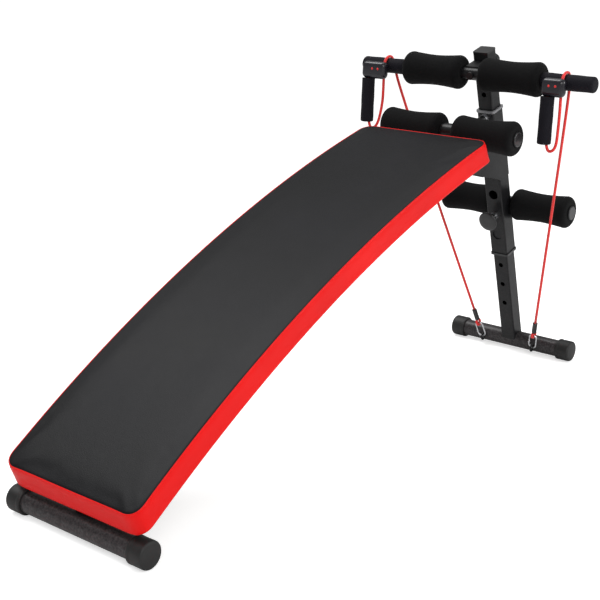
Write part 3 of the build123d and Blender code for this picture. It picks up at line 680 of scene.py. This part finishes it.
def longest_loop(piece, edges):
    """The places of the longest loop among these edges, in order."""
    following = {}
    for a, b in edges:
        following.setdefault(a, []).append(b)
        following.setdefault(b, []).append(a)
    best, seen = [], set()
    for start in following:
        if start in seen:
            continue
        order, here = [], start
        while here is not None:
            seen.add(here)
            order.append(here)
            here = next((n for n in following[here] if n not in seen), None)
        if len(order) > len(best):
            best = order
    return [piece.data.vertices[i].co.copy() for i in best]


seam_loop = longest_loop(pad, seam_edges)
print("seam length", round(line_length(seam_loop), 3))

# %% [markdown]
# A thin red cord is sewn into that seam. Its line is the border between the two panels,
# evened out, so that it follows the cover wherever the foam pushed it.

# %% Pad: the piping along the seam
PIPING_RADIUS = 0.0013


def even_loop(points, spacing):
    """The loop again, smoothed and with even spacing."""
    total = line_length(points) + (points[0] - points[-1]).length
    count = int(total / spacing)
    closed = points + [points[0]]
    made, run, here = [], 0.0, 0
    for number in range(count):
        target = total * number / count
        while run + (closed[here + 1] - closed[here]).length < target:
            run += (closed[here + 1] - closed[here]).length
            here += 1
        step = (closed[here + 1] - closed[here]).length
        made.append(closed[here].lerp(closed[here + 1], (target - run) / max(step, 1e-9)))
    for _ in range(4):
        made = [(made[i - 1] + 2 * made[i] + made[(i + 1) % count]) / 4 for i in range(count)]
    return made


def closed_tube(name, loop, radius, sides=10):
    """A tube round a closed loop."""
    mesh = bpy.data.meshes.new(name)
    build = bmesh.new()
    rings = []
    for i, point in enumerate(loop):
        tangent = (loop[(i + 1) % len(loop)] - loop[i - 1]).normalized()
        sideways = tangent.cross(Vector((0, 0, 1))).normalized()
        upward = sideways.cross(tangent)
        rings.append([
            build.verts.new(point + radius * (math.cos(a) * sideways + math.sin(a) * upward))
            for a in [2 * math.pi * s / sides for s in range(sides)]
        ])
    for i in range(len(rings)):
        a, b = rings[i - 1], rings[i]
        for s in range(sides):
            t = (s + 1) % sides
            build.faces.new((a[s], b[s], b[t], a[t])).smooth = True
    bmesh.ops.recalc_face_normals(build, faces=build.faces)
    build.to_mesh(mesh)
    build.free()
    piece = bpy.data.objects.new(name, mesh)
    bpy.context.scene.collection.objects.link(piece)
    return piece


piping_loop = even_loop(seam_loop, 0.004)
piping = closed_tube("pad_piping", piping_loop, PIPING_RADIUS)
give(piping, red_vinyl)
bend_to_bench(piping)
print("piping faces", len(piping.data.polygons))

# %% [markdown]
# The pad is flat up to here. Subdividing it first and bending it afterwards keeps the curve
# smooth. The CAD's block gives its place to this cover.

# %% Pad: smooth it, bend it, and finish
subdivide = pad.modifiers.new("smooth", "SUBSURF")
subdivide.levels = subdivide.render_levels = 1
bpy.ops.object.select_all(action="DESELECT")
bpy.context.view_layer.objects.active = pad
pad.select_set(True)
bpy.ops.object.modifier_apply(modifier="smooth")
bend_to_bench(pad)
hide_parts("pad_cushion")
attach(pad, "frame")
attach(piping, "frame")
print("pad", len(pad.data.polygons), "faces")

# %% [markdown]
# The foam rollers are one extrusion each, cut to length, with ends that spring out round the
# plugs, so they have a slight waist. A circle is extruded ring by ring and scaled, as on a
# lathe. The last ring is bridged to the first, which makes the bore.

# %% A lathe in edit mode
def turned_piece(name, rings, sides=64, bored=True):
    """Extrudes a circle along Z through (height, radius) rings."""
    height, radius = rings[0]
    bpy.ops.object.select_all(action="DESELECT")
    bpy.ops.mesh.primitive_circle_add(vertices=sides, radius=radius, location=(0, 0, height))
    piece = bpy.context.object
    piece.name = name
    bpy.ops.object.transform_apply()
    bpy.ops.object.mode_set(mode="EDIT")
    bpy.ops.mesh.select_all(action="SELECT")
    if not bored:
        bpy.ops.mesh.edge_face_add()
    for (low, before), (high, after) in zip(rings, rings[1:]):
        bpy.ops.mesh.extrude_region_move(TRANSFORM_OT_translate={"value": (0, 0, high - low)})
        share = after / before
        bpy.ops.transform.resize(value=(share, share, 1), center_override=(0, 0, high))
    if bored:
        bpy.ops.mesh.select_all(action="DESELECT")
        build = bmesh.from_edit_mesh(piece.data)
        for edge in build.edges:
            edge.select_set(edge.is_boundary)
        bmesh.update_edit_mesh(piece.data)
        bpy.ops.mesh.bridge_edge_loops()
    bpy.ops.mesh.select_all(action="SELECT")
    bpy.ops.mesh.normals_make_consistent(inside=False)
    bpy.ops.object.mode_set(mode="OBJECT")
    bpy.ops.object.shade_smooth_by_angle(angle=math.radians(50))
    return piece


def place_copy(model, name, place):
    """A copy with its own mesh, put in place in the mesh itself."""
    copy = bpy.data.objects.new(name, model.data.copy())
    bpy.context.scene.collection.objects.link(copy)
    copy.data.transform(place)
    return copy


# %% [markdown]
# One roller is turned and then copied to the six places. Each copy takes the length of its
# own box in the CAD, and has its own mesh.

# %% Rollers
ROLLER_HALF = 0.068
END_ROUND = 0.011
END_FLAT = 0.024
WAIST_RADIUS = 0.0311
WAIST_DEPTH = 0.0039
low_end = [(-ROLLER_HALF, 0.0132), (-ROLLER_HALF, 0.0190), (-ROLLER_HALF, 0.0235)]
for angle in (15, 30, 45, 60, 75):
    a = math.radians(angle)
    low_end.append(
        (-ROLLER_HALF + END_ROUND * (1 - math.cos(a)), END_FLAT + END_ROUND * math.sin(a))
    )
waist = []
for number in range(17):
    share = -1 + number / 8
    radius = WAIST_RADIUS + WAIST_DEPTH * abs(share) ** 1.7
    waist.append((share * (ROLLER_HALF - END_ROUND), radius))
high_end = [(-height, radius) for height, radius in reversed(low_end)]
roller_rings = low_end + waist + high_end
roller_model = turned_piece("roller_model", roller_rings)
along_y = Matrix.Rotation(math.radians(-90), 4, "X")
for bar in ("knee", "ankle", "top"):
    for side_name, side in SIDES.items():
        node = f"{bar}_roller_{side_name}"
        low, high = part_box(node)
        stretch = Matrix.Diagonal((1, (high.y - low.y) / (2 * ROLLER_HALF), 1, 1))
        place = Matrix.Translation((low + high) / 2) @ stretch @ along_y
        roller = place_copy(roller_model, f"foam_{node}", place)
        give(roller, roller_foam)
        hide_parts(node)
        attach(roller, node)
bpy.data.objects.remove(roller_model)
print("points in each roller", len(roller.data.vertices))

# %% [markdown]
# The bar's ends have foam sleeves with a closed, rounded end. The hand grips are bored foam
# tubes. Both are turned like the rollers, and a very small wave in the radius keeps them
# from looking machined.

# %% Bar grips and hand grips
def outward_from_inner_end(low, high, side):
    """Lays a turned piece along Y, from the inner end of this box to its outer end."""
    outward = Matrix.Rotation(math.radians(-90 * side), 4, "X")
    inner_end = low.y if side > 0 else high.y
    centre = (low + high) / 2
    return Matrix.Translation((centre.x, inner_end, centre.z)) @ outward


def sleeve_rings(length, outer, inner, edge):
    """A foam sleeve with one open end and one rounded, closed end at the top."""
    rings = [(0, inner), (0, outer - 0.001), (0.001, outer)]
    rings += [(length * n / 6, outer + 0.0003 * math.sin(n * 2.1)) for n in range(1, 6)]
    for angle in (0, 18, 36, 54, 72, 90):
        a = math.radians(angle)
        rings.append((length - edge + edge * math.sin(a), outer - edge + edge * math.cos(a)))
    rings += [(length, 0.004), (length, 0.0005)]
    return rings


BAR_GRIP_RADIUS, BAR_GRIP_BORE, BAR_GRIP_EDGE = 0.016, 0.013, 0.005
HAND_GRIP_RADIUS, HAND_GRIP_BORE, HAND_GRIP_EDGE = 0.014, 0.0042, 0.003
for side_name, side in SIDES.items():
    node = f"bar_grip_{side_name}"
    low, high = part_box(node)
    length = high.y - low.y
    rings = sleeve_rings(length, BAR_GRIP_RADIUS, BAR_GRIP_BORE, BAR_GRIP_EDGE)
    grip = turned_piece(f"foam_{node}", rings, 48, bored=False)
    grip.data.transform(outward_from_inner_end(low, high, side))
    give(grip, grip_foam)
    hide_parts(node)
    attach(grip, "top_post")

    node = f"handle_grip_{side_name}"
    low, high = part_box(node)
    length = high.z - low.z
    flat = HAND_GRIP_RADIUS - HAND_GRIP_EDGE
    rings = [(0, HAND_GRIP_BORE), (0, flat + 0.0002)]
    for angle in (0, 25, 50, 75, 90):
        a = math.radians(angle)
        rings.append((HAND_GRIP_EDGE * (1 - math.cos(a)), flat + HAND_GRIP_EDGE * math.sin(a)))
    rings += [(length * n / 8, HAND_GRIP_RADIUS + 0.0002 * math.sin(n * 1.7)) for n in range(1, 8)]
    rings += [(length, HAND_GRIP_RADIUS), (length, HAND_GRIP_BORE)]
    hand_grip = turned_piece(f"foam_{node}", rings, 48)
    centre = (low + high) / 2
    hand_grip.data.transform(Matrix.Translation((centre.x, centre.y, low.z)))
    give(hand_grip, grip_foam)
    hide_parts(node)
    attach(hand_grip, f"handle_{side_name}")
print("grips made")

# %% [markdown]
# Each handle hangs on a moulded black yoke that hooks over the front of the bar. It is a
# glossy rounded block, with a raised rib where the strap of the real one turns over. Its holes
# are too small to cut, so two flat red dots on its face stand for the cord that shows in them.

# %% Yokes
YOKE_ROUND = 0.0102
RIB_HEIGHT = 0.0016
RIB_WIDTH = 0.22        # as a share of half the yoke
RIB_OFFSET = 0.35
DOT_RADIUS = 0.0026
for side_name, side in SIDES.items():
    node = f"handle_yoke_{side_name}"
    low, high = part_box(node)
    size = high - low
    bpy.ops.object.select_all(action="DESELECT")
    bpy.ops.mesh.primitive_cube_add(size=1, location=(low + high) / 2)
    yoke = bpy.context.object
    yoke.name = f"moulded_yoke_{side_name}"
    yoke.scale = size
    bpy.ops.object.transform_apply()
    edit_mode(yoke)
    bpy.ops.mesh.select_all(action="SELECT")
    bpy.ops.mesh.bevel(offset=YOKE_ROUND, segments=7, affect="EDGES")
    bpy.ops.mesh.select_all(action="SELECT")
    bpy.ops.mesh.subdivide(number_cuts=1)
    bpy.ops.object.mode_set(mode="OBJECT")
    centre = (low + high) / 2
    for vertex in yoke.data.vertices:
        across = (vertex.co.y - centre.y) / (size.y / 2)
        rise = (vertex.co.z - centre.z) / (size.z / 2)
        slanted = across * side * 0.6 + rise * 0.5
        rib = math.exp(-((slanted - RIB_OFFSET) / RIB_WIDTH) ** 2)
        if low.x + 0.002 < vertex.co.x < centre.x:
            vertex.co.x -= RIB_HEIGHT * rib * (1 - abs(rise))
    bpy.context.view_layer.objects.active = yoke
    bpy.ops.object.shade_smooth()
    give(yoke, gloss_plastic)
    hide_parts(node)
    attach(yoke, f"handle_{side_name}")
    for number, drop in enumerate((0.0, 0.0145)):
        bpy.ops.object.select_all(action="DESELECT")
        bpy.ops.mesh.primitive_uv_sphere_add(segments=20, ring_count=12, radius=DOT_RADIUS)
        dot = bpy.context.object
        dot.name = f"cord_dot_{side_name}_{number}"
        dot.scale = (0.45, 1, 1)
        cord_y = side * CORD_BAR_Y
        dot.location = (low.x + 0.0002, cord_y + 0.004 + drop, TOP_BAR.z - 0.006)
        bpy.ops.object.transform_apply()
        bpy.ops.object.shade_smooth()
        give(dot, red_elastic)
        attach(dot, f"handle_{side_name}")
print("yokes made")

# %% [markdown]
# The spring pins have mushroom heads of black plastic. The CAD profile is a plain polygon, so
# the head is turned again here with rounded lips and a dished face.

# %% Pin knobs
# Each pair is a height and a radius. KNOB_TOP_SHARE is the height of the knob's full reach.
KNOB_PROFILE = [
    (0.0, 0.0093), (0.002, 0.0095), (0.5, 0.0085), (0.72, 0.0082), (0.78, 0.0100), (0.82, 0.0150),
    (0.86, 0.0188), (0.89, 0.0206), (0.93, 0.0217), (0.97, 0.0220), (1.0, 0.0219), (1.03, 0.0213),
    (1.07, 0.0198), (1.10, 0.0175), (1.125, 0.0140), (1.135, 0.0100), (1.13, 0.0060),
    (1.125, 0.0008),
]
KNOB_TOP_SHARE = 1.135
KNOB_BASE_OFFSET = 0.007
for name in ("upper", "lower"):
    node = f"{name}_pin_knob"
    housing = middle_of(f"{name}_pin_housing")
    start = housing - post_back * KNOB_BASE_OFFSET
    length = max((start - v.co).dot(post_back) for v in NODES[node].data.vertices)
    rings = [(share * length / KNOB_TOP_SHARE, radius) for share, radius in KNOB_PROFILE]
    knob = turned_piece(f"turned_{node}", rings, 56, bored=False)
    toward = Matrix((post_up.cross(-post_back), post_up, -post_back)).transposed()
    knob.data.transform(Matrix.Translation(start) @ toward.to_4x4())
    give(knob, black_plastic)
    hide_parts(node)
    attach(knob, f"{name}_pin")
    print(knob.name, "reach", round(length, 4))

# %% [markdown]
# The feet end in rubber cups with thick rounded rims. A ring of small ribs would not show, so
# each cup is turned with a rolled lip and a slightly domed end.

# %% Foot caps
CAP_ROUND = 0.0045
CAP_FLAT = 0.0189
for foot in ("front", "rear"):
    for side_name, side in SIDES.items():
        node = f"{foot}_foot_cap_{side_name}"
        low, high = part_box(node)
        length = high.y - low.y
        rings = [(0.0, 0.0193), (0.0, 0.0222), (0.0007, 0.0230), (0.002, 0.0235), (0.006, 0.0235),
                 (0.0075, 0.0229), (0.009, 0.0229), (0.011, 0.0233)]
        for angle in (0, 15, 30, 45, 60, 75, 90):
            a = math.radians(angle)
            height = length - 0.001 - CAP_ROUND + CAP_ROUND * math.sin(a)
            rings.append((height, CAP_FLAT + CAP_ROUND * math.cos(a)))
        rings += [(length - 0.0007, 0.0150), (length - 0.0002, 0.0090), (length, 0.0005)]
        cap = turned_piece(f"rubber_{node}", rings, 56, bored=False)
        cap.data.transform(outward_from_inner_end(low, high, side))
        give(cap, cap_rubber)
        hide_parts(node)
        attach(cap, "frame" if foot == "front" else "leg")
print("foot caps made")

# %% [markdown]
# The rest keeps its CAD mesh: the tubes, plates, bolts and hooks. Bevels could soften their
# edges, but they would change an exact shape for little gain at this size. So each of these
# pieces only gets the material of its finish.

# %% Finish of the CAD pieces
FINISHES = {
    "front_foot_tube": foot_steel, "rear_foot_tube": foot_steel,
    "main_beam": black_steel, "post_bracket": black_steel, "pad_brackets": black_steel,
    "post_sleeve": black_steel, "leg_tube": black_steel, "upper_tube": black_steel,
    "knee_bar": black_steel, "ankle_bar": black_steel, "knee_bar_stem": black_steel,
    "ankle_bar_saddle": black_steel, "top_bar": black_steel,
    "upper_pin_housing": zinc_steel, "lower_pin_housing": zinc_steel,
    "upper_pin": zinc_steel, "lower_pin": zinc_steel, "bracket_bolts": zinc_steel,
    "pad_bolts": zinc_steel, "top_bar_bolt": black_steel,
    "upper_tube_cap": black_plastic, "top_bar_knob": black_plastic,
    "knee_bar_plugs": black_plastic, "ankle_bar_plugs": black_plastic,
    # The top bushing's grey is a painted highlight; the bottom bushing is black plastic.
    "sleeve_bushing_top": grey_plastic, "sleeve_bushing_bottom": black_plastic,
    "pad_board": board_wood,
}
for side_name in SIDES:
    FINISHES[f"cord_eyelet_{side_name}"] = black_steel
    FINISHES[f"carabiner_{side_name}"] = zinc_steel
    FINISHES[f"carabiner_gate_{side_name}"] = zinc_steel
    FINISHES[f"cord_crimp_{side_name}"] = black_plastic
for node, material in FINISHES.items():
    give(NODES[node], material)
print("finished CAD nodes", len(FINISHES))

# %% [markdown]
# The cords take the red braid. Each eye rides on the leg and each handle loop on its handle. The
# lower, upper and wrap pieces of the pull cord keep their place baked into the mesh and ride on no
# body.

# %% Cords: finish and attach
for side_name, side in SIDES.items():
    lower_cord, lower = cords[side_name]["pull_cord_lower"]
    upper_cord, upper = cords[side_name]["pull_cord_upper"]
    wrap_cord, wrap = cords[side_name]["pull_cord_wrap"]
    handle_cord, handle_line = cords[side_name]["handle_loop"]
    for piece in (lower_cord, upper_cord, wrap_cord, handle_cord, cord_eyes[side_name]):
        give(piece, red_elastic)
    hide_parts(f"pull_cord_{side_name}")
    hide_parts(f"pull_cord_{side_name}")
    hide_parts(f"pull_cord_{side_name}")
    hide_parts(f"handle_cord_{side_name}")
    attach(cord_eyes[side_name], "leg")
    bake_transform(lower_cord)
    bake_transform(upper_cord)
    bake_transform(wrap_cord)
    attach(handle_cord, f"handle_{side_name}")

# %% [markdown]
# The bench stands on a plain white floor that keeps its soft shadow. The floor shows white
# to the camera through the Light Path node, so no extra light is needed on the object.

# %% Floor
bpy.ops.object.select_all(action="DESELECT")
bpy.ops.mesh.primitive_plane_add(size=80, location=(0, 0, -0.0005))
floor = bpy.context.object
floor.name = "floor"
floor_material, tree, shader = finish_material("pale_floor", (0.84, 0.84, 0.84), 0.9, specular=0.0)
floor_paths = tree.nodes.new("ShaderNodeLightPath")
glow = tree.nodes.new("ShaderNodeMath")
glow.operation = "MULTIPLY"
glow.inputs[1].default_value = 0.58
shader.inputs["Emission Color"].default_value = (1, 1, 1, 1)
tree.links.new(floor_paths.outputs["Is Camera Ray"], glow.inputs[0])
tree.links.new(glow.outputs["Value"], shader.inputs["Emission Strength"])
give(floor, floor_material)
print("floor", floor.name)


# %% [markdown]
# Three softboxes give broad highlights, and a wide sun fills the rest evenly. The camera sees
# a pure white world, while the bench is lit by a dimmer one.

# %% Lights
def soft_light(name, place, target, size, power):
    data = bpy.data.lights.new(name, "AREA")
    data.shape = "RECTANGLE"
    data.size, data.size_y = size
    data.energy = power
    lamp = bpy.data.objects.new(name, data)
    bpy.context.scene.collection.objects.link(lamp)
    lamp.location = place
    lamp.rotation_euler = (Vector(target) - Vector(place)).to_track_quat("-Z", "Y").to_euler()
    return lamp


soft_light("front_softbox", (-2.4, -2.6, 2.4), (0, 0, 0.3), (2.2, 1.6), 62)
soft_light("side_softbox", (1.6, -3.0, 1.8), (0.1, 0, 0.3), (1.8, 1.6), 46)
soft_light("top_softbox", (0.6, 0.8, 3.4), (0.1, 0, 0.3), (3.0, 2.4), 32)
sun_data = bpy.data.lights.new("even_light", "SUN")
sun_data.energy = 1.15
sun_data.angle = math.radians(28)
sun = bpy.data.objects.new("even_light", sun_data)
bpy.context.scene.collection.objects.link(sun)
sun.rotation_euler = Vector((0.15, -0.62, -1)).to_track_quat("-Z", "Y").to_euler()
world = bpy.data.worlds.new("studio")
bpy.context.scene.world = world
world.use_nodes = True
background = world.node_tree.nodes["Background"]
background.inputs["Color"].default_value = (1, 1, 1, 1)
background.inputs["Strength"].default_value = 0.30
paths = world.node_tree.nodes.new("ShaderNodeLightPath")
white = world.node_tree.nodes.new("ShaderNodeBackground")
white.inputs["Color"].default_value = (1, 1, 1, 1)
white.inputs["Strength"].default_value = 1.0
choose = world.node_tree.nodes.new("ShaderNodeMixShader")
links = world.node_tree.links
links.new(paths.outputs["Is Camera Ray"], choose.inputs["Fac"])
links.new(background.outputs["Background"], choose.inputs[1])
links.new(white.outputs["Background"], choose.inputs[2])
links.new(choose.outputs["Shader"], world.node_tree.nodes["World Output"].inputs["Surface"])
bpy.context.scene.view_settings.view_transform = "Standard"
